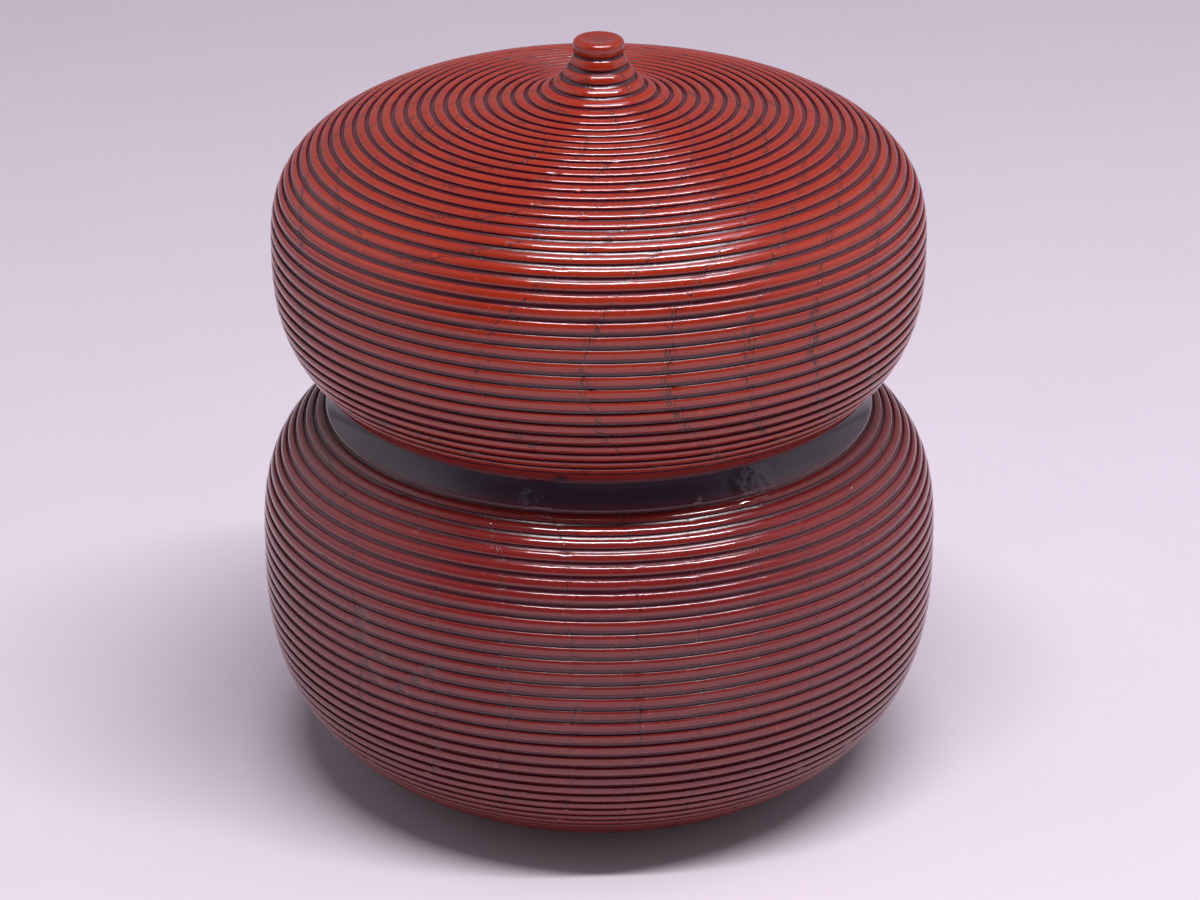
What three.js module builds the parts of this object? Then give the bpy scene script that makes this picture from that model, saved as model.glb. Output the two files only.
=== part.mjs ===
// A tea caddy turned from wood in the shape of a double gourd, ringed all over with fine grooves.
// It has two pieces: a hollow body, and a hollow lid with a small knob, which lifts off the body.
// Millimetres, +Z up. The origin is the centre of the underside, and +Z is the turning axis.
import * as THREE from 'three';

// The seam, where the lid's rim rests on the body
const SEAM_HEIGHT = 41.7;
const RIM_RADIUS = 27.5; // outside of the lid's rim
const RIM_WALL = 1.9;
const SEAM_STEP = 0.5; // the rim stands this far out over the body's waist
const FIT_CLEARANCE = 0.3; // between the body's collar and the lid's bore, all round

// The body, outside
const BODY_SWELL = 8.0; // the widest level stands this far out from the waist
const BELLY_HEIGHT = 23.2; // the widest level
const BODY_FULLNESS_ABOVE = 3.2; // 2 is an ellipse, more is squarer
const BODY_FULLNESS_BELOW = 2.65;
const COVE_HEIGHT = 2.6; // the smooth hollow band below the seam
const COVE_FLARE = 1.35;
const FOOT_RADIUS = 22;
const FOOT_RING_WIDTH = 4;
const UNDERSIDE_SINK = 0.6;

// The body, inside
const BODY_WALL = 3;
const FLOOR_THICKNESS = 4;
const WELL_FLOOR_RADIUS = 17;
const COLLAR_HEIGHT = 5.5;
const COLLAR_WALL = 1.9;
const MOUTH_DEPTH = 4.5; // the straight throat goes this far below the seam
const EDGE_BREAK = 0.4; // bevel on the collar's lip

// The lid, outside
const RIM_BAND_HEIGHT = 1.6; // plain band between the rim's edge and the first groove
const RIM_BAND_FLARE = 1.35;
const LID_SWELL = 5.8; // the widest level stands this far out from the rim
const LID_WIDEST_ABOVE_SEAM = 15.1;
const LID_FULLNESS_BELOW = 2.8;
const DOME_HEIGHT = 15.15; // from the lid's widest level to its flat crown
const DOME_FULLNESS = 2.8;

// The lid, inside
const LID_WALL = 2.5;
const CEILING_THICKNESS = 3;
const BORE_CLEAR_ABOVE_COLLAR = 0.6;
const HOLLOW_FULLNESS = 2.5; // of both hollows

// The knob
const NECK_RADIUS = 2.45;
const KNOB_RISE = 4.65; // from the crown to the neck under the cap
const KNOB_FADE = 2.1; // the concave flare sinks into the crown over this distance
const CAP_OVERHANG = 0.12; // the cap stands this far out from the neck
const CAP_HEIGHT = 1.45;
const CAP_DISH = 0.15; // the cap's top is hollowed by this much

// The rings
const RING_PITCH = 1.37;
const RING_DEPTH = 0.33;

// How finely the round forms are cut into flat faces
const SEGMENTS = 28;
const HOLLOW_STEPS = 4; // faces along each quarter of a hollow
const COVE_STEPS = 3;
const CAP_STEPS = 4;

// Sizes that follow from those above
const waistRadius = RIM_RADIUS - SEAM_STEP;
const bodyRadius = waistRadius + BODY_SWELL;
const boreRadius = RIM_RADIUS - RIM_WALL;
const collarRadius = boreRadius - FIT_CLEARANCE;
const mouthRadius = collarRadius - COLLAR_WALL;
const lidRadius = RIM_RADIUS + LID_SWELL;
const lidWidestHeight = SEAM_HEIGHT + LID_WIDEST_ABOVE_SEAM;
const crownHeight = lidWidestHeight + DOME_HEIGHT;

// One quarter of a bulb's side: a superellipse that starts at its widest level
// and ends at another radius. A profile point is (radius, height).
class BulbQuarter extends THREE.Curve {
  constructor({ wideRadius, wideHeight, endRadius, fullness, reach, lift = () => 0 }) {
    super();
    Object.assign(this, { wideRadius, wideHeight, fullness, reach, lift });
    this.endAngle = Math.acos(Math.pow(endRadius / wideRadius, fullness / 2));
    this.arcLengthDivisions = 800;
  }

  getPoint(share, target = new THREE.Vector2()) {
    const angle = share * this.endAngle;
    const power = 2 / this.fullness;
    const radius = this.wideRadius * Math.pow(Math.cos(angle), power);
    const height = this.wideHeight + this.reach * Math.pow(Math.sin(angle), power);
    return target.set(radius, height + this.lift(radius));
  }
}

// The same quarter, walked from its end back to its widest level.
class Reversed extends THREE.Curve {
  constructor(curve) {
    super();
    this.curve = curve;
    this.arcLengthDivisions = curve.arcLengthDivisions;
  }

  getPoint(share, target) {
    return this.curve.getPoint(1 - share, target);
  }
}

// A quarter that passes through a given end point instead of having a given reach.
function quarterTo(wideRadius, wideHeight, endRadius, endHeight, fullness) {
  const share = Math.pow(1 - Math.pow(endRadius / wideRadius, fullness), 1 / fullness);
  const reach = (endHeight - wideHeight) / share;
  return new BulbQuarter({ wideRadius, wideHeight, endRadius, fullness, reach });
}

// Joins curves end to end into one path that is walked by its length.
function joined(...curves) {
  const path = new THREE.CurvePath();
  curves.forEach((curve) => path.add(curve));
  return path;
}

// The bottom of a groove: a point of an outside path, moved into the wood.
// Outside paths run upward, so the wood is on their left.
function groovePoint(path, share) {
  const along = path.getTangent(share);
  const inward = new THREE.Vector2(-along.y, along.x);
  return path.getPoint(share).addScaledVector(inward, RING_DEPTH);
}

// A ringed stretch: grooves a pitch apart along the path, with the crests between them on it.
// Each ring is a groove and the crest above it, or a crest and the groove above it.
function ringedPoints(path, grooveFirst) {
  const rings = Math.round(path.getLength() / RING_PITCH);
  return Array.from({ length: rings }, (_, ring) => {
    const crest = path.getPoint((ring + 0.5) / rings);
    const groove = groovePoint(path, (grooveFirst ? ring : ring + 1) / rings);
    return grooveFirst ? [groove, crest] : [crest, groove];
  }).flat();
}

// Points at even lengths along a smooth path, both ends included.
function evenPoints(path, steps) {
  return Array.from({ length: steps + 1 }, (_, step) => path.getPoint(step / steps));
}

// The smooth cove under the seam, from the waist down to the first groove of the body.
function covePoints() {
  return Array.from({ length: COVE_STEPS }, (_, step) => {
    const angle = (step / COVE_STEPS) * (Math.PI / 2);
    const radius = waistRadius + COVE_FLARE * (1 - Math.cos(angle));
    return new THREE.Vector2(radius, SEAM_HEIGHT - COVE_HEIGHT * Math.sin(angle));
  });
}

// The body's ringed side, from the foot up to the cove.
function bodySidePoints() {
  const shoulderRadius = waistRadius + COVE_FLARE;
  const shoulderHeight = SEAM_HEIGHT - COVE_HEIGHT;
  const above = quarterTo(bodyRadius, BELLY_HEIGHT, shoulderRadius, shoulderHeight, BODY_FULLNESS_ABOVE);
  const below = quarterTo(bodyRadius, BELLY_HEIGHT, FOOT_RADIUS, 0, BODY_FULLNESS_BELOW);
  const upward = joined(new Reversed(below), above);
  return [upward.getPoint(0), ...ringedPoints(upward, false)];
}

// The hollow of the body, from the mouth down to the middle of the floor.
function bodyHollowPoints() {
  const hollowRadius = bodyRadius - BODY_WALL;
  const throatHeight = SEAM_HEIGHT - MOUTH_DEPTH;
  const above = quarterTo(hollowRadius, BELLY_HEIGHT, mouthRadius, throatHeight, HOLLOW_FULLNESS);
  const below = quarterTo(hollowRadius, BELLY_HEIGHT, WELL_FLOOR_RADIUS, FLOOR_THICKNESS, HOLLOW_FULLNESS);
  const downward = joined(new Reversed(above), below);
  return [...evenPoints(downward, 2 * HOLLOW_STEPS), new THREE.Vector2(0, FLOOR_THICKNESS)];
}

// The body: foot, ringed side, cove, ledge for the lid, collar and hollow.
function bodyProfile() {
  const collarTop = SEAM_HEIGHT + COLLAR_HEIGHT;
  const ringRadius = FOOT_RADIUS - FOOT_RING_WIDTH;
  return [
    new THREE.Vector2(0, UNDERSIDE_SINK),
    new THREE.Vector2(ringRadius - UNDERSIDE_SINK, UNDERSIDE_SINK),
    new THREE.Vector2(ringRadius, 0),
    ...bodySidePoints(),
    ...covePoints().reverse(),
    new THREE.Vector2(collarRadius, SEAM_HEIGHT),
    new THREE.Vector2(collarRadius, collarTop - EDGE_BREAK),
    new THREE.Vector2(collarRadius - EDGE_BREAK, collarTop),
    new THREE.Vector2(mouthRadius + EDGE_BREAK, collarTop),
    new THREE.Vector2(mouthRadius, collarTop - EDGE_BREAK),
    ...bodyHollowPoints(),
  ];
}

// The lid's ringed side and flat crown, from the first groove above the rim up to the knob's neck.
function lidSidePoints() {
  const firstRadius = RIM_RADIUS + RIM_BAND_FLARE;
  const firstHeight = SEAM_HEIGHT + RIM_BAND_HEIGHT;
  const below = quarterTo(lidRadius, lidWidestHeight, firstRadius, firstHeight, LID_FULLNESS_BELOW);
  const above = new BulbQuarter({
    wideRadius: lidRadius,
    wideHeight: lidWidestHeight,
    endRadius: NECK_RADIUS,
    fullness: DOME_FULLNESS,
    reach: DOME_HEIGHT,
    lift: (radius) => KNOB_RISE * Math.exp((NECK_RADIUS - radius) / KNOB_FADE),
  });
  return ringedPoints(joined(new Reversed(below), above), true);
}

// The knob's cap: a round bead over the neck, with a slightly dished top.
function capPoints() {
  const neckHeight = crownHeight + KNOB_RISE;
  const capRadius = NECK_RADIUS + CAP_OVERHANG;
  const bead = CAP_HEIGHT / 2;
  const round = Array.from({ length: CAP_STEPS + 1 }, (_, step) => {
    const angle = (step / CAP_STEPS - 0.5) * Math.PI;
    const radius = capRadius - bead + bead * Math.cos(angle);
    return new THREE.Vector2(radius, neckHeight + bead + bead * Math.sin(angle));
  });
  return [...round, new THREE.Vector2(0, neckHeight + CAP_HEIGHT - CAP_DISH)];
}

// The hollow of the lid, from the middle of its ceiling down to the straight bore.
function lidHollowPoints() {
  const hollowRadius = lidRadius - LID_WALL;
  const boreTop = SEAM_HEIGHT + COLLAR_HEIGHT + BORE_CLEAR_ABOVE_COLLAR;
  const above = new BulbQuarter({
    wideRadius: hollowRadius,
    wideHeight: lidWidestHeight,
    endRadius: 0,
    fullness: HOLLOW_FULLNESS,
    reach: DOME_HEIGHT - CEILING_THICKNESS,
  });
  const below = quarterTo(hollowRadius, lidWidestHeight, boreRadius, boreTop, HOLLOW_FULLNESS);
  return evenPoints(joined(new Reversed(above), below), 2 * HOLLOW_STEPS);
}

// The lid: hollow, bore, rim, plain band, ringed side, crown and knob.
function lidProfile() {
  return [
    ...lidHollowPoints(),
    new THREE.Vector2(boreRadius, SEAM_HEIGHT),
    new THREE.Vector2(RIM_RADIUS, SEAM_HEIGHT),
    ...lidSidePoints(),
    ...capPoints(),
  ];
}

// Turns a profile about +Z into a closed solid.
function turned(name, profile, material) {
  const geometry = new THREE.LatheGeometry(profile, SEGMENTS);
  geometry.rotateX(Math.PI / 2);
  const mesh = new THREE.Mesh(geometry, material);
  mesh.name = name;
  return mesh;
}

// Red lacquer over dark wood, glossy.
function redLacquer() {
  return new THREE.MeshStandardMaterial({ color: 0x8c2a20, roughness: 0.25, metalness: 0 });
}

const caddy = new THREE.Group();
caddy.name = 'gourd_tea_caddy';
caddy.add(turned('body', bodyProfile(), redLacquer()));
caddy.add(turned('lid', lidProfile(), redLacquer()));

export default caddy;
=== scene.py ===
"""The finish of a turned and lacquered double-gourd tea caddy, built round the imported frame."""
import math

import bpy
import numpy as np
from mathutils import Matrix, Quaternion, Vector


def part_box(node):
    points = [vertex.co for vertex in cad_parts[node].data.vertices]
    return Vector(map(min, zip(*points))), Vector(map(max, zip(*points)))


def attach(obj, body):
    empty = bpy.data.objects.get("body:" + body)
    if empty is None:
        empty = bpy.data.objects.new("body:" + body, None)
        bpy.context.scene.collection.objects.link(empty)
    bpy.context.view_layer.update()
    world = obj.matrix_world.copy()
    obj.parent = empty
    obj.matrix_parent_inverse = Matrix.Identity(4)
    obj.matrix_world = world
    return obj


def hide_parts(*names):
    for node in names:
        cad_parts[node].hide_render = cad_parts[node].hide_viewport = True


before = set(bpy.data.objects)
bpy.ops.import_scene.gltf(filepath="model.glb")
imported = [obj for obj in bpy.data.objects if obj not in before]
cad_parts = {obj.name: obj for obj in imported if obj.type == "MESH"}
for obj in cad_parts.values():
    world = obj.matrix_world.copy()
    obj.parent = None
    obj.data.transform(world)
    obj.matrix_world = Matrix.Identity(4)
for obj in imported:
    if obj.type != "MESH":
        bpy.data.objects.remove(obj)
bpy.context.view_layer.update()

# Sizes below are in millimetres unless a comment says otherwise
MM = 0.001

# Sizes read from the frame
body_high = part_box("body")[1] / MM
lid_low, lid_high = (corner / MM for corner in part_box("lid"))
SEAM_HEIGHT = lid_low.z
BODY_RADIUS = body_high.x
LID_RADIUS = lid_high.x
COLLAR_TOP = body_high.z
KNOB_TOP = lid_high.z

# Sizes of the turned forms, as in the solids
RIM_RADIUS = 27.5
RIM_WALL = 1.9
WAIST_RADIUS = 27.0
FIT_CLEARANCE = 0.3
BELLY_HEIGHT = 23.2
BODY_FULLNESS_ABOVE = 3.2
BODY_FULLNESS_BELOW = 2.65
COVE_HEIGHT = 2.6
COVE_FLARE = 1.35
FOOT_RADIUS = 22
FOOT_RING_WIDTH = 4
UNDERSIDE_SINK = 0.6
BODY_WALL = 3
FLOOR_THICKNESS = 4
WELL_FLOOR_RADIUS = 17
COLLAR_WALL = 1.9
MOUTH_DEPTH = 4.5
EDGE_BREAK = 0.4
RIM_BAND_HEIGHT = 1.6
RIM_BAND_FLARE = 1.35
LID_WIDEST_ABOVE_SEAM = 15.1
LID_FULLNESS_BELOW = 2.8
DOME_HEIGHT = 15.15
DOME_FULLNESS = 2.8
LID_WALL = 2.5
CEILING_THICKNESS = 3
BORE_CLEAR_ABOVE_COLLAR = 0.6
HOLLOW_FULLNESS = 2.5
NECK_RADIUS = 2.45
KNOB_RISE = 4.65
KNOB_FADE = 2.1
CAP_OVERHANG = 0.12
CAP_DISH = 0.15
RING_PITCH = 1.37
BODY_RINGS = 34
LID_RINGS = 41

# Sizes of forms that the solids have plainer or not at all
RING_DEPTH = 0.38
FOOT_CORNER = 0.3
COVE_SINK = 0.15
CAP_ROUND = 0.55
CAP_FOOT_ROUND = 0.3
CAP_FOOT_TURN = -70  # degrees, where the round under the cap starts
DISH_SHARE = 0.85  # of the cap's flat top
PATH_STEPS = 600
DOME_PATH_STEPS = 2400
HOLLOW_STEPS = 24
COVE_STEPS = 10
CAP_STEPS = 8
CAP_FOOT_STEPS = 6
DISH_STEPS = 6
EDGE_STEPS = 4

# How red a surface is: black lacquer at 0, red at 1, and red without pores just under 1
RINGED, PLAIN, BLACK = 1.0, 0.97, 0.0
DISH_RIM_FINISH = 0.85
CAP_SHADED_FINISH = 0.6

# Red that runs over the lower edge of the cove, which starts just inside the last ridge
COVE_REDS = (0.3, 0.22, 0.08)
COVE_START = 0.97

# The plain band above the lid's rim: how far out and up each point lies, its ring place and finish
RIM_BAND = (
    (-0.15, 0.0, -0.6, 0.1),
    (0.05, 0.1, -0.55, 0.25),
    (0.42, 0.5, -0.5, 0.4),
    (0.95, 1.05, -0.35, 0.6),
)

# The section of one ring: shares of the pitch, counted from the middle of a groove
LIP = 0.18
WALL_FOOT = 0.15
BEVEL = 0.018
HALF_SECTION = (WALL_FOOT, LIP - BEVEL, LIP, 0.26, 0.38)
SECTION = (0.0,) + HALF_SECTION + tuple(1 - share for share in reversed(HALF_SECTION))
HARD_EDGES = (WALL_FOOT, LIP - BEVEL, 1 - LIP + BEVEL, 1 - WALL_FOOT)
HARD_EDGE_MATCH = 0.004

# Depths under the crest of a ridge
LIP_DEPTH = 0.12
BEVEL_DEPTH = 0.15
FOOT_DEPTH = 0.34
LAND_FULLNESS = 2.5

# Ring places: the first one above the foot, and those between which the grooves grow shallow on the neck
FIRST_PLACE = 0.3
NECK_PLACES = (LID_RINGS - 0.8, LID_RINGS - 0.4)
NECK_EASE = 0.55

# The columns of the turned meshes stand closer together at the front than at the back
BODY_COLUMNS = 214
LID_COLUMNS = 190
FRONT_CROWDING = 0.55

# Growth lines of the wood, where the ridges are nicked and the pores open
GROWTH_SPACING = 6.1
BODY_GRAIN_ANGLE = math.radians(15)
BODY_GRAIN_OFFSET = 0.8
LID_PITH = (-10.0, -12.0)
LID_GRAIN_OFFSET = 19.4
LID_GROWTH_SPACING = 3.6
CROSSING_STEPS = 1441

# Nicks at the growth lines, then small ones anywhere; places and widths are in pitches from a crest
UNWORN_RADIUS = 16
NICK_CHANCE = 0.6
NICK_SCATTER = 0.25
NICK_PLACES = (0.3, 0.3, -0.3, 0.0)
NICK_HALF_LENGTHS = (0.14, 0.34)
NICK_HALF_WIDTHS = (0.08, 0.16)
NICK_DEPTHS = (0.06, 0.2)
NICK_REACH = 2.2  # times its half length and half width
SMALL_NICKS_PER_MM = 0.12  # of the ring's radius
SMALL_NICK_PLACES = (0.31, -0.31)
SMALL_NICK_HALF_LENGTHS = (0.12, 0.3)
SMALL_NICK_HALF_WIDTH = 0.09
SMALL_NICK_DEPTHS = (0.04, 0.14)

# Ridges of the body that are broken through: ring counted from the foot, degrees from the front
BROKEN_RIDGES = (
    (18, -34.5), (18, -40.2), (19, -31.5), (19, -41.8), (20, -29.2),
    (20, -39.0), (21, -42.8), (22, -42.8), (23, -42.8),
)
BREAK_REACH = 0.65
BREAK_HALF_LENGTH = 0.6
BREAK_HALF_WIDTH = 0.42
BREAK_DEPTH = 0.26
BREAK_SQUARENESS = 4.0

# Spots where the lacquer is stained or rubbed off: degrees from the front, radius, height, reach, colour
STAINS = (
    (-39.0, 37.0, 26.6, 1.1, (0.020, 0.024, 0.034, 1)),
    (11.2, 36.5, 31.3, 0.7, (0.035, 0.030, 0.036, 1)),
    (-7.5, 28.4, 42.2, 1.2, (0.012, 0.012, 0.018, 1)),
)

# Blistered spots in the black lacquer of the cove: degrees from the front, radius, height, reach
BLISTERS = ((-12.0, 27.4, 39.6, 2.4), (33.0, 27.6, 39.6, 3.0), (20.0, 27.6, 39.2, 0.8))
BLISTER_STRETCH = (0.7, 0.7, 1.6)
SPOT_CORE = 0.4  # of a spot's reach

# Colours, as the two ends of a slow change in tone where there are two
# The body's reds are darker than the lid's: partly the lacquer's own tone, partly painted shade for the
# weaker light on its side
BODY_REDS_WITH_PAINTED_SHADE = (0.126, 0.009, 0.008, 1), (0.182, 0.012, 0.009, 1)
LID_REDS = (0.20, 0.014, 0.004, 1), (0.29, 0.020, 0.005, 1)
WINE_REDS = (0.060, 0.004, 0.010, 1), (0.085, 0.005, 0.012, 1)
WOODS = (0.022, 0.003, 0.004, 1), (0.035, 0.005, 0.006, 1)
# The paper's tones: some real unevenness, and darker at the back as painted falloff of the overhead light
PAPER_TONES_AND_PAINTED_FALLOFF = (0.51, 0.466, 0.516, 1), (0.606, 0.555, 0.611, 1)
FLECK = (0.40, 0.048, 0.015, 1)
WORN_EDGE = (0.10, 0.020, 0.022, 1)
GAP = (0.085, 0.010, 0.014, 1)
BLACK_LACQUER = (0.027, 0.014, 0.026, 1)

# Heights between which the body's darker reds, partly painted shade, give way to the lid's
LID_REDS_START = (SEAM_HEIGHT - 0.7, SEAM_HEIGHT + 0.3)

# Where the wine red starts and ends across a groove, in pitches from its middle
WINE_BELOW = (-0.20, -0.175)
WINE_ABOVE = (0.165, 0.20)
RAGGEDNESS = 0.08
UPPER_LIP = -0.22
LIP_REACH = (0.02, 0.12)

# Half widths along a growth line, in line spacings: whole up to the first, gone from the second on
PORE_BELT = (0.03, 0.12)
CRACK_BELT = (0.007, 0.017)
PORE_STRETCH = (6.0, 6.0, 0.7)
BODY_PORES = 0.3  # of what the lid shows
PORES_FROM_FINISH = (0.975, 0.99)

# Noises on the caddy: waves per millimetre, and detail
GRIT = (7.0, 2.0)
RAGGED = (2.2, 3.0)
WAVER = (0.12, 2.0)
CRACKS = (0.9, 1.0)
PATCHES = (0.4, 1.0)
DASHES = (1.0, 1.0)
SLOW_TONE = (0.25, 3.0)
FLECKS = (1.6, 4.0)
RIPPLES = (1.4, 2.0)
BUBBLES = (1.0, 1.0)
GLOSS = (0.5, 3.0)

# Steps in a noise, which lies mostly between 0.3 and 0.7: none below the first, all from the second on
CRACKED = (0.49, 0.57)
POROUS = (0.46, 0.53)
PORE = (0.52, 0.57)
LONE_PORE = (0.75, 0.79)
FLECKED = (0.64, 0.72)
STAINED = (0.35, 0.50)

# Steps in the wear: where worn edges change colour, where they turn dull, and where a gap begins
WORN_COLOUR = (0.3, 0.7)
WORN_DULL = (0.2, 0.6)
GAP_EDGE = (0.2, 0.45)

# How much of the tone changes slowly over the wood and how much from ring to ring, and other shares
SLOW_SHARE = 0.7
RING_SHARE = 0.3
FLECK_SHARE = 0.5
PORE_SHARE = 0.8

# Relief, in units of the bump's distance
BUMP_DISTANCE = 0.015
RIPPLE_RELIEF = 0.9
GRIT_RELIEF = 0.12
LIP_RELIEF = 0.5
LIP_GAIN = (0.5, 2.0)  # away from a growth line and beside it
LIP_GAIN_BELT = (0.25, 0.02)
PORE_RELIEF = 1.4
BLISTER_RELIEF = 22.0

# Roughness of the lands, and what the black lacquer, bare spots and grooves add to it
LAND_ROUGHNESS = (0.07, 0.13)
BLACK_ROUGHNESS = 0.04
BARE_ROUGHNESS = 0.1
GROOVE_ROUGHNESS = 0.16
LACQUER_IOR = 1.66

# The camera, from a pinhole fitted to the rings of the photograph
FOCAL_PIXELS = 4201
PHOTO_WIDTH = 1200
SENSOR = 36.0
CAMERA_DISTANCE = 437.1
CAMERA_ELEVATION = math.radians(24.24)
CAMERA_ROLL = -0.001
CAMERA_SHIFT = 1 / PHOTO_WIDTH
AIM_HEIGHT = 33.0

# The room, in metres: the floor, its painted light falloff from back to front, and the overhead lights'
# aim
FLOOR_HALF_SIZE = 1.6
PAINTED_FLOOR_FALLOFF = (0.35, -0.15)
PAPER_NOISE = (40.0, 3.0)
PAPER_ROUGHNESS = 0.7
PAPER_SHEEN = 0.2
OVERHEAD_AIM = (0.1, -0.02, 0)
ROOM_IN_FRONT = (0.035, 0.03, 0.04, 1)
ROOM_BEHIND = (0.22, 0.205, 0.23, 1)
ROOM_SIDES = (0.76, 0.71, 0.80, 1)
ROOM_LOW = (0.36, 0.32, 0.38, 1)

# Columns of a profile's table
RADIUS, HEIGHT, INWARD_RADIUS, INWARD_HEIGHT, PLACE, FINISH = range(6)


def bulb_quarter(wide_radius, wide_height, end_radius, reach, fullness, lift=None, steps=PATH_STEPS):
    """One quarter of a bulb's side as (radius, height) points, from its widest level to end_radius."""
    end_angle = math.acos((end_radius / wide_radius) ** (fullness / 2))
    angle = np.linspace(0.0, end_angle, steps)
    radius = wide_radius * np.cos(angle) ** (2 / fullness)
    height = wide_height + reach * np.sin(angle) ** (2 / fullness)
    if lift is not None:
        height = height + lift(radius)
    return np.column_stack([radius, height])


def quarter_to(wide_radius, wide_height, end_radius, end_height, fullness):
    """The quarter that ends at a given radius and height."""
    share = (1 - (end_radius / wide_radius) ** fullness) ** (1 / fullness)
    reach = (end_height - wide_height) / share
    return bulb_quarter(wide_radius, wide_height, end_radius, reach, fullness)


class Path:
    """A profile line that is walked by its own length, as a share from 0 to 1."""

    def __init__(self, *stretches):
        points = np.vstack([stretches[0]] + [stretch[1:] for stretch in stretches[1:]])
        steps = np.hypot(*np.diff(points, axis=0).T)
        self.points = points
        self.walked = np.concatenate([[0.0], np.cumsum(steps)])
        self.length = self.walked[-1]

    def at(self, share):
        where = np.asarray(share) * self.length
        return np.column_stack([np.interp(where, self.walked, self.points[:, k]) for k in (0, 1)])

    def inward(self, share):
        """The unit normal into the wood, for paths that run upward on the outside."""
        reach = 0.002
        ahead = self.at(np.clip(np.asarray(share) + reach, 0, 1))
        behind = self.at(np.clip(np.asarray(share) - reach, 0, 1))
        along = ahead - behind
        along /= np.linalg.norm(along, axis=1)[:, None]
        return np.column_stack([-along[:, 1], along[:, 0]])


def ease(value, low, high):
    """0 up to low, 1 from high on, and smooth between them."""
    share = np.clip((value - low) / (high - low), 0, 1)
    return share * share * (3 - 2 * share)


def ring_depth(place):
    """How far the surface lies under the crests, at a place counted in pitches from a groove.

    The lands are rounded, the walls steep, and the lips between them slightly bevelled.
    """
    apart = np.abs(place - np.round(place))
    land = LIP_DEPTH * np.clip((0.5 - apart) / (0.5 - LIP), 0, 1) ** LAND_FULLNESS
    depths = (RING_DEPTH, FOOT_DEPTH, BEVEL_DEPTH, LIP_DEPTH)
    groove = np.interp(apart, (0, WALL_FOOT, LIP - BEVEL, LIP), depths)
    return np.where(apart < LIP, groove, land)


def knob_depth(place):
    """The same on the lid, where the last groove, under the knob's cap, is shallow."""
    return ring_depth(place) * (1 - NECK_EASE * ease(place, *NECK_PLACES))


class Profile:
    """The whole outline of one turned piece: points, ways into the wood, ring places and finish."""

    def __init__(self):
        self.parts = []

    def add(self, points, finish, places=None, inward=None):
        """Adds points in walking order. Those without a way inward carry no ridges."""
        points = np.atleast_2d(points)
        count = len(points)
        places = np.full(count, 0.5) if places is None else np.asarray(places, float)
        inward = np.zeros((count, 2)) if inward is None else inward
        look = np.broadcast_to(np.asarray(finish, float), count)
        self.parts.append(np.column_stack([points, inward, places, look]))

    def table(self):
        """One row per point, with the columns named above."""
        return np.vstack(self.parts)


def on_rings(table):
    """Which rows of a profile's table lie on the ringed stretch."""
    return np.hypot(table[:, INWARD_RADIUS], table[:, INWARD_HEIGHT]) > 0.5


def add_ringed(profile, path, first, depth=ring_depth):
    """The ringed stretch of a path, from the ring place called first to its upper end."""
    rings = round(path.length / RING_PITCH)
    places = np.array([ring + share for ring in range(rings) for share in SECTION] + [rings])
    places = places[places >= first]
    share = places / rings
    inward = path.inward(share)
    points = path.at(share) + inward * depth(places)[:, None]
    profile.add(points, RINGED, places, inward)


def add_hollow(profile, first, second):
    """The inside of a bulb, along the first quarter to its widest level and on along the second."""
    profile.add(Path(first[::-1], second).at(np.linspace(0, 1, HOLLOW_STEPS)), BLACK)


def arc(centre, radius, start, end, steps):
    """Points of a round edge, angles in degrees from the outward direction."""
    angle = np.radians(np.linspace(start, end, steps))
    return np.column_stack([centre[0] + radius * np.cos(angle), centre[1] + radius * np.sin(angle)])


def add_cove(profile):
    """The black hollow band between the last ridge and the seam."""
    down = np.linspace(COVE_START, 0, COVE_STEPS)
    radius = WAIST_RADIUS + COVE_FLARE * down - COVE_SINK * np.sin(math.pi * down)
    finish = np.zeros(COVE_STEPS)
    finish[:len(COVE_REDS)] = COVE_REDS
    profile.add(np.column_stack([radius, SEAM_HEIGHT - COVE_HEIGHT * down]), finish)


def body_profile():
    """The body from the middle of its underside, up the outside and down into the tea well."""
    ring_radius = FOOT_RADIUS - FOOT_RING_WIDTH
    profile = Profile()
    profile.add([(0.0, UNDERSIDE_SINK), (ring_radius - UNDERSIDE_SINK, UNDERSIDE_SINK)], BLACK)
    profile.add([(ring_radius, 0.0), (FOOT_RADIUS - FOOT_CORNER, 0.0)], BLACK)
    shoulder = (WAIST_RADIUS + COVE_FLARE, SEAM_HEIGHT - COVE_HEIGHT)
    below = quarter_to(BODY_RADIUS, BELLY_HEIGHT, FOOT_RADIUS, 0.0, BODY_FULLNESS_BELOW)
    above = quarter_to(BODY_RADIUS, BELLY_HEIGHT, *shoulder, BODY_FULLNESS_ABOVE)
    add_ringed(profile, Path(below[::-1], above), FIRST_PLACE)
    add_cove(profile)
    # The ledge and the collar
    collar_radius = RIM_RADIUS - RIM_WALL - FIT_CLEARANCE
    mouth_radius = collar_radius - COLLAR_WALL
    edge_height = COLLAR_TOP - EDGE_BREAK
    profile.add((collar_radius, SEAM_HEIGHT), BLACK)
    profile.add(arc((collar_radius - EDGE_BREAK, edge_height), EDGE_BREAK, 0, 90, EDGE_STEPS), BLACK)
    profile.add(arc((mouth_radius + EDGE_BREAK, edge_height), EDGE_BREAK, 90, 180, EDGE_STEPS), BLACK)
    # The tea well
    hollow = BODY_RADIUS - BODY_WALL
    throat_end = SEAM_HEIGHT - MOUTH_DEPTH
    upper = quarter_to(hollow, BELLY_HEIGHT, mouth_radius, throat_end, HOLLOW_FULLNESS)
    lower = quarter_to(hollow, BELLY_HEIGHT, WELL_FLOOR_RADIUS, FLOOR_THICKNESS, HOLLOW_FULLNESS)
    add_hollow(profile, upper, lower)
    profile.add((0.0, FLOOR_THICKNESS), BLACK)
    return profile


def knob_flare(radius):
    """How far the knob's concave flare lifts the crown at a radius."""
    return KNOB_RISE * np.exp((NECK_RADIUS - radius) / KNOB_FADE)


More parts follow.
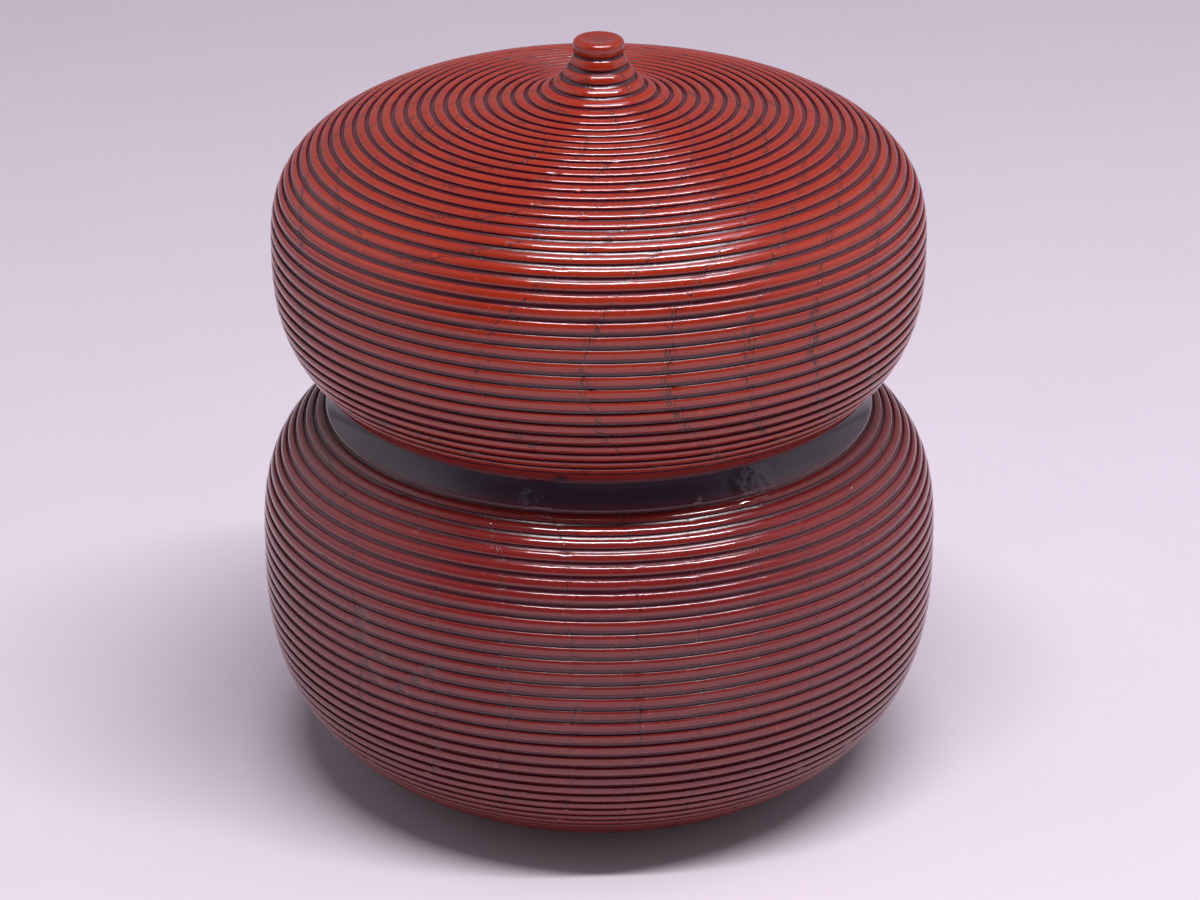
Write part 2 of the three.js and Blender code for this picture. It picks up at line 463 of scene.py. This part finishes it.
def add_cap(profile, neck_height):
    """The knob's cap: a round foot and edge, and a slightly hollowed top."""
    radius = NECK_RADIUS + CAP_OVERHANG
    foot = (radius - CAP_FOOT_ROUND, neck_height + CAP_FOOT_ROUND)
    foot_finish = np.linspace(CAP_SHADED_FINISH, PLAIN, CAP_FOOT_STEPS)
    profile.add(arc(foot, CAP_FOOT_ROUND, CAP_FOOT_TURN, 0, CAP_FOOT_STEPS), foot_finish)
    top_radius = radius - CAP_ROUND
    profile.add(arc((top_radius, KNOB_TOP - CAP_ROUND), CAP_ROUND, 0, 90, CAP_STEPS), PLAIN)
    dish = np.linspace(DISH_SHARE, 0.0, DISH_STEPS)
    height = KNOB_TOP - CAP_DISH * (1 - dish ** 2)
    dish_finish = np.linspace(DISH_RIM_FINISH, CAP_SHADED_FINISH, DISH_STEPS)
    profile.add(np.column_stack([top_radius * dish, height]), dish_finish)


def lid_profile():
    """The lid from the middle of its ceiling, down the inside and up the outside to the knob."""
    widest = SEAM_HEIGHT + LID_WIDEST_ABOVE_SEAM
    bore_radius = RIM_RADIUS - RIM_WALL
    bore_end = COLLAR_TOP + BORE_CLEAR_ABOVE_COLLAR
    profile = Profile()
    hollow = LID_RADIUS - LID_WALL
    upper = bulb_quarter(hollow, widest, 0.0, DOME_HEIGHT - CEILING_THICKNESS, HOLLOW_FULLNESS)
    lower = quarter_to(hollow, widest, bore_radius, bore_end, HOLLOW_FULLNESS)
    add_hollow(profile, upper, lower)
    profile.add((bore_radius, SEAM_HEIGHT), BLACK)
    for out, up, place, finish in RIM_BAND:
        profile.add((RIM_RADIUS + out, SEAM_HEIGHT + up), finish, [place])
    # The ringed side, the crown and the knob's flare
    first = (RIM_RADIUS + RIM_BAND_FLARE, SEAM_HEIGHT + RIM_BAND_HEIGHT)
    lower = quarter_to(LID_RADIUS, widest, *first, LID_FULLNESS_BELOW)
    dome = (LID_RADIUS, widest, NECK_RADIUS, DOME_HEIGHT, DOME_FULLNESS)
    upper = bulb_quarter(*dome, knob_flare, DOME_PATH_STEPS)
    add_ringed(profile, Path(lower[::-1], upper), 0, knob_depth)
    add_cap(profile, widest + DOME_HEIGHT + KNOB_RISE)
    return profile


def column_angles(columns):
    """Angles round the axis, counted from the back, closer together at the front."""
    turn = np.arange(columns) / columns * 2 * math.pi
    return turn + FRONT_CROWDING * np.sin(turn)


def across(angle, radius):
    """x and y of points at angles counted from the back (+Y) towards +X."""
    return radius * np.sin(angle), radius * np.cos(angle)


def body_grain(x, y):
    """Growth lines passed on the way across the body: its wood was cut far from the pith."""
    along = x * math.cos(BODY_GRAIN_ANGLE) + y * math.sin(BODY_GRAIN_ANGLE)
    return (along - BODY_GRAIN_OFFSET) / GROWTH_SPACING


def lid_grain(x, y):
    """Growth lines passed on the way out from the pith, which lies inside the lid."""
    return (np.hypot(x - LID_PITH[0], y - LID_PITH[1]) - LID_GRAIN_OFFSET) / LID_GROWTH_SPACING


class Wear:
    """Cuts into the ridges, gathered as a depth for each point of a turned mesh."""

    def __init__(self, table, angle):
        self.radius, self.place = table[:, RADIUS], table[:, PLACE]
        self.ringed = on_rings(table)
        self.angle = angle
        self.cut = np.zeros((len(table), len(angle)))

    def nick(self, place, middle, half_length, half_width, depth, squareness=2.0):
        """One cut round a ring place and an angle; half_width is in pitches, lengths in mm."""
        near = np.abs(self.place - place) < NICK_REACH * half_width
        rows = np.flatnonzero(self.ringed & near)
        if len(rows) == 0:
            return
        apart = (self.angle - middle + math.pi) % (2 * math.pi) - math.pi
        widest = self.radius[rows].max()
        columns = np.flatnonzero(np.abs(apart) * widest < NICK_REACH * half_length)
        along = np.abs(apart[columns][None, :] * self.radius[rows][:, None]) / half_length
        over = np.abs(self.place[rows] - place)[:, None] / half_width
        shape = depth * np.exp(-along ** squareness - over ** 2)
        window = np.ix_(rows, columns)
        self.cut[window] = np.maximum(self.cut[window], shape)

    def depths(self):
        """The cuts, none of them deeper than the bottom of the grooves."""
        deepest = np.where(self.ringed, RING_DEPTH - ring_depth(self.place), 0)
        return np.minimum(self.cut, np.maximum(deepest, 0)[:, None])


def growth_crossings(grain, radius):
    """Angles at which a ring of this radius crosses the growth lines."""
    angle = np.linspace(0, 2 * math.pi, CROSSING_STEPS)
    line = np.floor(grain(*across(angle, radius)))
    return angle[np.flatnonzero(np.diff(line))]


def wear_at_growth_lines(wear, grain, crest, radius, dice):
    """Nicks in one ridge, mostly in its upper edge, where it crosses the growth lines."""
    for middle in growth_crossings(grain, radius):
        if dice.random() < NICK_CHANCE:
            spread = dice.normal(0, NICK_SCATTER) / radius
            place = crest + dice.choice(NICK_PLACES)
            half_length = dice.uniform(*NICK_HALF_LENGTHS)
            half_width = dice.uniform(*NICK_HALF_WIDTHS)
            wear.nick(place, middle + spread, half_length, half_width, dice.uniform(*NICK_DEPTHS))


def wear_anywhere(wear, crest, radius, dice):
    """Small nicks in both edges of one ridge."""
    for _ in range(dice.poisson(radius * SMALL_NICKS_PER_MM)):
        place = crest + dice.choice(SMALL_NICK_PLACES)
        middle = dice.uniform(0, 2 * math.pi)
        half_length = dice.uniform(*SMALL_NICK_HALF_LENGTHS)
        wear.nick(place, middle, half_length, SMALL_NICK_HALF_WIDTH, dice.uniform(*SMALL_NICK_DEPTHS))


def worn_ridges(table, angle, grain, rings, breaks):
    """All the wear of one piece, drawn by chance from its number of rings, and its broken ridges."""
    wear = Wear(table, angle)
    ringed = table[wear.ringed]
    dice = np.random.default_rng(rings)
    for ring in range(rings):
        crest = ring + 0.5
        radius = np.interp(crest, ringed[:, PLACE], ringed[:, RADIUS])
        if radius >= UNWORN_RADIUS:
            wear_at_growth_lines(wear, grain, crest, radius, dice)
            wear_anywhere(wear, crest, radius, dice)
    for ring, degrees in breaks:
        middle = math.pi - math.radians(degrees)
        sizes = (BREAK_HALF_LENGTH, BREAK_HALF_WIDTH, BREAK_DEPTH, BREAK_SQUARENESS)
        wear.nick(ring + 0.5, middle, *sizes)
    return wear


def mark_hard_edges(mesh, table, points_per_row):
    """The walls of the grooves meet the lands and the bottoms in hard edges."""
    row_of = np.repeat(np.arange(len(table)), points_per_row)
    share = np.mod(table[:, PLACE], 1)[:, None]
    at_edge = (np.abs(share - np.array(HARD_EDGES)) < HARD_EDGE_MATCH).any(axis=1)
    hard = on_rings(table) & at_edge
    ends = np.empty(2 * len(mesh.edges), np.int32)
    mesh.edges.foreach_get("vertices", ends)
    rows = row_of[ends].reshape(-1, 2)
    sharp = mesh.attributes.new("sharp_edge", "BOOLEAN", "EDGE")
    sharp.data.foreach_set("value", (rows[:, 0] == rows[:, 1]) & hard[rows[:, 0]])


def faces_between(low, high):
    """The faces between two rows of points, either of which may be a single point on the axis."""
    corners = [low, high, np.roll(high, -1), np.roll(low, -1)]
    if low[0] == low[-1]:
        corners = corners[:3]
    elif high[0] == high[-1]:
        corners = [low, high, corners[3]]
    return np.column_stack(corners).tolist()


def turned(name, profile, columns, grain, rings, breaks):
    """Turns a profile about +Z into a mesh; ring places, finish, wear and grain ride on its points."""
    table = profile.table()
    angle = column_angles(columns)
    wear = worn_ridges(table, angle, grain, rings, breaks)
    cut = wear.depths()
    radius = table[:, [RADIUS]] + cut * table[:, [INWARD_RADIUS]]
    height = table[:, [HEIGHT]] + cut * table[:, [INWARD_HEIGHT]]
    points, values, index, counts = [], [], [], []
    for row, on_axis in enumerate(table[:, RADIUS] < 1e-6):
        count = 1 if on_axis else columns
        x, y = across(angle[:count], radius[row, :count])
        points.append(np.column_stack([x, y, height[row, :count]]))
        looks = np.broadcast_to(table[row, [PLACE, FINISH]], (count, 2))
        values.append(np.column_stack([looks, wear.cut[row, :count] / RING_DEPTH, grain(x, y)]))
        start = sum(counts)
        index.append(np.full(columns, start) if on_axis else np.arange(start, start + columns))
        counts.append(count)
    faces = [face for low, high in zip(index, index[1:]) for face in faces_between(low, high)]
    mesh = bpy.data.meshes.new(name)
    mesh.from_pydata((np.vstack(points) * MM).tolist(), [], faces)
    for label, column in zip(("ring", "finish", "worn", "grain"), np.vstack(values).T):
        attribute = mesh.attributes.new(label, "FLOAT", "POINT")
        attribute.data.foreach_set("value", np.ascontiguousarray(column, np.float32))
    mesh.shade_smooth()
    mark_hard_edges(mesh, table, counts)
    piece = bpy.data.objects.new(name, mesh)
    bpy.context.collection.objects.link(piece)
    return piece


class Graph:
    """A material's nodes. Most calls add one node and give back its output."""

    def __init__(self, material):
        material.use_nodes = True
        self.tree = material.node_tree
        self.tree.nodes.clear()

    def node(self, kind, settings=(), **inputs):
        """Adds a node and gives back the node itself; an input's name has _ for each space."""
        made = self.tree.nodes.new(kind)
        for key, value in dict(settings).items():
            setattr(made, key, value)
        for key, value in inputs.items():
            self.feed(made.inputs[key.replace("_", " ")], value)
        return made

    def feed(self, socket, value):
        """Links an output to a socket, or sets the socket to a plain value."""
        if isinstance(value, bpy.types.NodeSocket):
            self.tree.links.new(value, socket)
        else:
            socket.default_value = value

    def math(self, operation, *values):
        made = self.node("ShaderNodeMath", {"operation": operation})
        for socket, value in zip(made.inputs, values):
            self.feed(socket, value)
        return made.outputs[0]

    def plus(self, first, second):
        return self.math("ADD", first, second)

    def minus(self, first, second):
        return self.math("SUBTRACT", first, second)

    def times(self, first, second):
        return self.math("MULTIPLY", first, second)

    def most(self, first, second):
        return self.math("MAXIMUM", first, second)

    def rest_of(self, share):
        """What a share leaves of 1."""
        return self.minus(1.0, share)

    def stretch(self, vector, factors):
        made = self.node("ShaderNodeVectorMath", {"operation": "MULTIPLY"})
        self.feed(made.inputs[0], vector)
        self.feed(made.inputs[1], factors)
        return made.outputs[0]

    def step(self, value, low, high):
        """0 on low's side and 1 on high's side, and smooth between them."""
        made = self.node("ShaderNodeMapRange", {"interpolation_type": "SMOOTHSTEP"})
        for key, given in (("Value", value), ("From Min", low), ("From Max", high)):
            self.feed(made.inputs[key], given)
        return made.outputs[0]

    def span(self, value, low, high):
        """Spreads a value from 0 to 1 over low to high."""
        made = self.node("ShaderNodeMapRange")
        for key, given in (("Value", value), ("To Min", low), ("To Max", high)):
            self.feed(made.inputs[key], given)
        return made.outputs[0]

    def mix(self, share, first, second):
        """The first colour at share 0 and the second at 1."""
        made = self.node("ShaderNodeMix", {"data_type": "RGBA"})
        sockets = (made.inputs[0], made.inputs[6], made.inputs[7])
        for socket, value in zip(sockets, (share, first, second)):
            self.feed(socket, value)
        return made.outputs[2]

    def noise(self, where, scale, detail):
        return self.node("ShaderNodeTexNoise", Vector=where, Scale=scale, Detail=detail).outputs[0]

    def axes(self, vector):
        """The X, Y and Z of a vector, by name."""
        return self.node("ShaderNodeSeparateXYZ", Vector=vector).outputs

    def coordinates(self, kind):
        return self.node("ShaderNodeTexCoord").outputs[kind]

    def attribute(self, name):
        return self.node("ShaderNodeAttribute", {"attribute_name": name}).outputs["Fac"]

    def finish_with(self, shader, kind="ShaderNodeOutputMaterial"):
        """Links the shader to the output."""
        self.tree.links.new(shader.outputs[0], self.node(kind).inputs["Surface"])


class Lacquer(Graph):
    """Red lacquer on the lands over dark wine red in the grooves, on wood with open pores."""

    def __init__(self, material):
        super().__init__(material)
        made = self.node("ShaderNodeVectorMath", {"operation": "SCALE"})
        self.feed(made.inputs[0], self.coordinates("Object"))
        made.inputs["Scale"].default_value = 1 / MM
        self.place = made.outputs[0]
        self.ring = self.attribute("ring")
        self.finish = self.attribute("finish")
        self.worn = self.attribute("worn")
        self.on_lid = self.step(self.axes(self.place)["Z"], *LID_REDS_START)
        self.grit = self.noise(self.place, *GRIT)
        self.over = self.across_ring()
        above = self.step(self.over, *WINE_ABOVE)
        self.in_groove = self.times(self.step(self.over, *WINE_BELOW), self.rest_of(above))
        self.from_line = self.from_growth_line()
        self.open_pore = self.pores()

    def across_ring(self):
        """Pitches from the middle of a groove, below 0 on the ridge under it, with a ragged edge."""
        over = self.minus(self.math("FRACT", self.plus(self.ring, 0.5)), 0.5)
        ragged = self.minus(self.noise(self.place, *RAGGED), 0.5)
        return self.plus(over, self.times(ragged, RAGGEDNESS))

    def from_growth_line(self):
        """Line spacings from the nearest growth line, which wavers a little."""
        waver = self.times(self.minus(self.noise(self.place, *WAVER), 0.5), 0.5)
        return self.math("PINGPONG", self.plus(self.attribute("grain"), waver), 0.5)

    def pores(self):
        """Short upright dashes beside the growth lines, thick on the lid only, and hairline cracks."""
        belt = self.rest_of(self.step(self.from_line, *PORE_BELT))
        crack = self.rest_of(self.step(self.from_line, *CRACK_BELT))
        crack = self.times(crack, self.step(self.noise(self.place, *CRACKS), *CRACKED))
        dash = self.noise(self.stretch(self.place, PORE_STRETCH), *DASHES)
        patch = self.step(self.noise(self.place, *PATCHES), *POROUS)
        pores = self.times(self.times(belt, patch), self.step(dash, *PORE))
        pores = self.times(pores, self.span(self.on_lid, BODY_PORES, 1.0))
        pores = self.most(self.most(pores, crack), self.step(dash, *LONE_PORE))
        return self.times(pores, self.step(self.finish, *PORES_FROM_FINISH))

    def near(self, turn, radius, height, reach):
        """1 at a spot given in degrees from the front, radius and height, and 0 beyond its reach."""
        x, y = across(math.pi - math.radians(turn), radius)
        apart = self.node("ShaderNodeVectorMath", {"operation": "DISTANCE"})
        self.feed(apart.inputs[0], self.place)
        apart.inputs[1].default_value = (x, y, height)
        return self.step(apart.outputs["Value"], reach, SPOT_CORE * reach)

    def tone(self):
        """A slow change of tone over the wood, with a step from ring to ring."""
        slow = self.noise(self.place, *SLOW_TONE)
        ring = self.math("FLOOR", self.ring)
        each = self.node("ShaderNodeTexWhiteNoise", {"noise_dimensions": "1D"}, W=ring).outputs["Value"]
        return self.plus(self.times(slow, SLOW_SHARE), self.times(each, RING_SHARE))

    def colour(self, gaps):
        """The lacquer's colours, then those of pores, worn edges, gaps in the ridges and stains."""
        tone = self.tone()
        # The body's darker reds carry painted shade as well as their own tone
        red = self.mix(self.on_lid, self.mix(tone, *BODY_REDS_WITH_PAINTED_SHADE), self.mix(tone, *LID_REDS))
        fleck = self.step(self.noise(self.place, *FLECKS), *FLECKED)
        red = self.mix(self.times(fleck, FLECK_SHARE), red, FLECK)
        colour = self.mix(self.in_groove, red, self.mix(tone, *WINE_REDS))
        colour = self.mix(self.times(self.open_pore, PORE_SHARE), colour, self.mix(tone, *WOODS))
        colour = self.mix(self.step(self.worn, *WORN_COLOUR), colour, WORN_EDGE)
        for turn, radius, height in gaps:
            gap = self.near(turn, radius, height, BREAK_REACH)
            colour = self.mix(self.step(gap, *GAP_EDGE), colour, GAP)
        for turn, radius, height, reach, stain in STAINS:
            spot = self.times(self.near(turn, radius, height, reach), self.step(self.grit, *STAINED))
            colour = self.mix(spot, colour, stain)
        return self.mix(self.finish, BLACK_LACQUER, colour)

    def relief(self):
        """Faint ripples and grit, bright specks on the upper lips, sunken pores, and the blisters."""
        on_lip = self.math("ABSOLUTE", self.minus(self.over, UPPER_LIP))
        speck = self.times(self.grit, self.rest_of(self.step(on_lip, *LIP_REACH)))
        speck = self.times(speck, self.span(self.step(self.from_line, *LIP_GAIN_BELT), *LIP_GAIN))
        ripple = self.times(self.noise(self.place, *RIPPLES), RIPPLE_RELIEF)
        relief = self.plus(ripple, self.times(self.grit, GRIT_RELIEF))
        relief = self.plus(relief, self.times(speck, LIP_RELIEF))
        relief = self.minus(relief, self.times(self.open_pore, PORE_RELIEF))
        bubbles = self.noise(self.stretch(self.place, BLISTER_STRETCH), *BUBBLES)
        bubbles = self.times(bubbles, BLISTER_RELIEF)
        for blister in BLISTERS:
            relief = self.plus(relief, self.times(self.near(*blister), bubbles))
        bump = self.node("ShaderNodeBump", Strength=1.0, Distance=BUMP_DISTANCE * MM, Height=relief)
        return bump.outputs[0]

    def roughness(self):
        """Glossy lands, and duller black lacquer, pores, worn edges and grooves."""
        roughness = self.span(self.noise(self.place, *GLOSS), *LAND_ROUGHNESS)
        roughness = self.plus(roughness, self.times(self.rest_of(self.finish), BLACK_ROUGHNESS))
        bare = self.most(self.open_pore, self.step(self.worn, *WORN_DULL))
        roughness = self.plus(roughness, self.times(bare, BARE_ROUGHNESS))
        return self.plus(roughness, self.times(self.in_groove, GROOVE_ROUGHNESS))


def lacquer(gaps):
    """The one finish of both pieces; gaps are the places of the broken ridges."""
    material = bpy.data.materials.new("lacquered_wood")
    g = Lacquer(material)
    looks = {"Base_Color": g.colour(gaps), "Roughness": g.roughness(), "Normal": g.relief()}
    shader = g.node("ShaderNodeBsdfPrincipled", **looks)
    shader.inputs["IOR"].default_value = LACQUER_IOR
    g.finish_with(shader)
    return material


def floor_material():
    """Pale, faintly lavender paper, darker towards the back as a painted falloff of the overhead light.
    """
    material = bpy.data.materials.new("pale_paper")
    g = Graph(material)
    place = g.coordinates("Object")
    # Painted falloff of light: the paper is darker towards the back
    painted_falloff = g.step(g.axes(place)["Y"], *PAINTED_FLOOR_FALLOFF)
    tone = g.plus(g.times(g.noise(place, *PAPER_NOISE), 0.3), g.times(painted_falloff, 0.7))
    colour = g.mix(tone, *PAPER_TONES_AND_PAINTED_FALLOFF)
    shader = g.node("ShaderNodeBsdfPrincipled", Base_Color=colour, Roughness=PAPER_ROUGHNESS)
    shader.inputs["Specular IOR Level"].default_value = PAPER_SHEEN
    g.finish_with(shader)
    return material


def make_floor():
    half = FLOOR_HALF_SIZE
    corners = [(-half, -half, 0), (half, -half, 0), (half, half, 0), (-half, half, 0)]
    mesh = bpy.data.meshes.new("floor")
    mesh.from_pydata(corners, [], [(0, 1, 2, 3)])
    piece = bpy.data.objects.new("floor", mesh)
    mesh.materials.append(floor_material())
    bpy.context.collection.objects.link(piece)


def make_camera():
    data = bpy.data.cameras.new("camera")
    data.sensor_width = SENSOR
    data.lens = FOCAL_PIXELS / PHOTO_WIDTH * SENSOR
    data.shift_x = CAMERA_SHIFT
    camera = bpy.data.objects.new("camera", data)
    back = Vector((0, -math.cos(CAMERA_ELEVATION), math.sin(CAMERA_ELEVATION)))
    camera.location = (Vector((0, 0, AIM_HEIGHT)) + back * CAMERA_DISTANCE) * MM
    turn = (-back).to_track_quat("-Z", "Y") @ Quaternion((0, 0, 1), CAMERA_ROLL)
    camera.rotation_euler = turn.to_euler()
    bpy.context.collection.objects.link(camera)
    bpy.context.scene.camera = camera


def area_light(name, place, aim, size, power, colour):
    """A rectangular light; place, aim and size are in metres, power in watts."""
    data = bpy.data.lights.new(name, "AREA")
    data.shape = "RECTANGLE"
    data.size, data.size_y = size
    data.energy = power
    data.color = colour
    light = bpy.data.objects.new(name, data)
    light.location = place
    light.rotation_euler = (Vector(aim) - Vector(place)).to_track_quat("-Z", "Y").to_euler()
    bpy.context.collection.objects.link(light)
    return light


def make_lights():
    """A long thin tube overhead, a soft violet light above it, and a low fill that shows in no gloss."""
    area_light("tube", place=(0.11, -0.172, 0.66), aim=OVERHEAD_AIM, size=(0.58, 0.033),
               power=5.3, colour=(1.0, 0.965, 0.985))
    area_light("soft_box", place=(0.11, -0.04, 0.68), aim=OVERHEAD_AIM, size=(0.58, 0.30),
               power=1.6, colour=(0.86, 0.78, 1.0))
    low_fill = area_light("low_fill", place=(0.0, -0.9, 0.16), aim=(0, 0, 0.01), size=(0.7, 0.25),
                          power=1.5, colour=(1.0, 0.97, 1.0))
    low_fill.visible_glossy = False


def make_room():
    """What the gloss mirrors: dark in front, paler behind and overhead, palest at the sides."""
    world = bpy.data.worlds.new("room")
    bpy.context.scene.world = world
    g = Graph(world)
    way = g.axes(g.coordinates("Generated"))
    behind_or_over = g.plus(way["Y"], g.times(way["Z"], 0.4))
    colour = g.mix(g.step(behind_or_over, -0.75, 0.35), ROOM_IN_FRONT, ROOM_BEHIND)
    sideways = g.times(g.step(g.math("ABSOLUTE", way["X"]), 0.4, 0.9), 0.85)
    sideways = g.times(sideways, g.step(way["Y"], -0.75, 0.0))
    colour = g.mix(sideways, colour, ROOM_SIDES)
    low = g.times(g.step(way["Z"], 0.40, 0.15), 0.3)
    colour = g.mix(low, colour, ROOM_LOW)
    shader = g.node("ShaderNodeBackground", Color=colour, Strength=1.0)
    g.finish_with(shader, "ShaderNodeOutputWorld")


def broken_spots(table):
    """Where the broken ridges lie: degrees from the front, radius and height."""
    ringed = table[on_rings(table)]
    for ring, degrees in BROKEN_RIDGES:
        radius, height = (np.interp(ring + 0.5, ringed[:, PLACE], ringed[:, k]) for k in (RADIUS, HEIGHT))
        yield degrees, radius, height


def make_caddy():
    """Both pieces, each in the place of its own solid."""
    body = body_profile()
    finish = lacquer(broken_spots(body.table()))
    pieces = (
        ("body", body, BODY_COLUMNS, body_grain, BODY_RINGS, BROKEN_RIDGES),
        ("lid", lid_profile(), LID_COLUMNS, lid_grain, LID_RINGS, ()),
    )
    for node, profile, columns, grain, rings, breaks in pieces:
        piece = turned(f"lacquered_{node}", profile, columns, grain, rings, breaks)
        piece.data.materials.append(finish)
        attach(piece, "root")
        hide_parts(node)


make_caddy()
make_floor()
make_camera()
make_lights()
make_room()
bpy.context.scene.view_settings.view_transform = "Standard"
